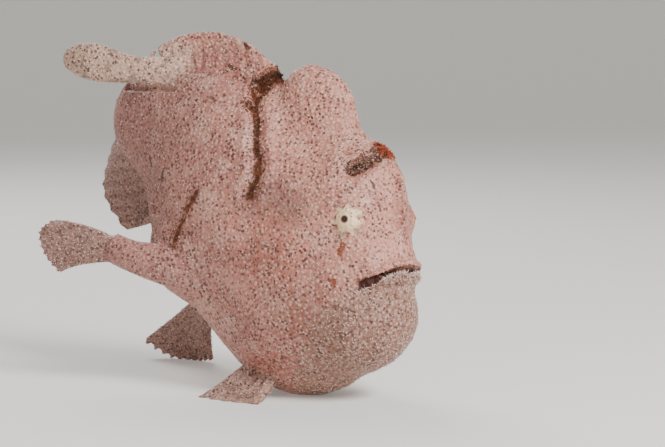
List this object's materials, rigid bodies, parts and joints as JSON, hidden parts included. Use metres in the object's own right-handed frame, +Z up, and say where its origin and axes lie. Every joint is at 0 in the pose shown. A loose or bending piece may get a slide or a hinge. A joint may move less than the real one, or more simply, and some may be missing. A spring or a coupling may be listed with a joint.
{
  "type": "frogfish model",
  "caption": "Life-size still model of a frogfish resting on its belly and fins, with fleshy back spines, arm-like limbs with ribbed hands, a steep mouth and a folded tail.",
  "frame": {"origin": "centre of the bounding box at floor level", "axes": "+X towards the snout, +Y towards the fish's left side, +Z up"},
  "size_m": [0.1068, 0.0576, 0.095],
  "materials": {
    "skin": "moist matt, pinkish white with fine purple-brown mesh and rust patches",
    "fin": "moist matt, whitish grey with dark mottles",
    "eye": "wet gloss, cream with dark dots and a dark pupil"
  },
  "bodies": {
    "root": {"head": "skin", "lower_jaw": "skin", "third_dorsal_spine": "skin", "second_dorsal_spine": "skin", "illicium": "skin", "eye_right": "eye", "eye_left": "eye", "trunk": "skin", "tail": "skin", "dorsal_fin": "fin", "anal_fin": "fin", "caudal_fin": "fin", "pectoral_arm_right": "skin", "pectoral_arm_left": "skin", "pectoral_fin_right": "fin", "pectoral_fin_left": "fin", "pelvic_fin_right": "fin", "pelvic_fin_left": "fin"}
  },
  "joints": []
}
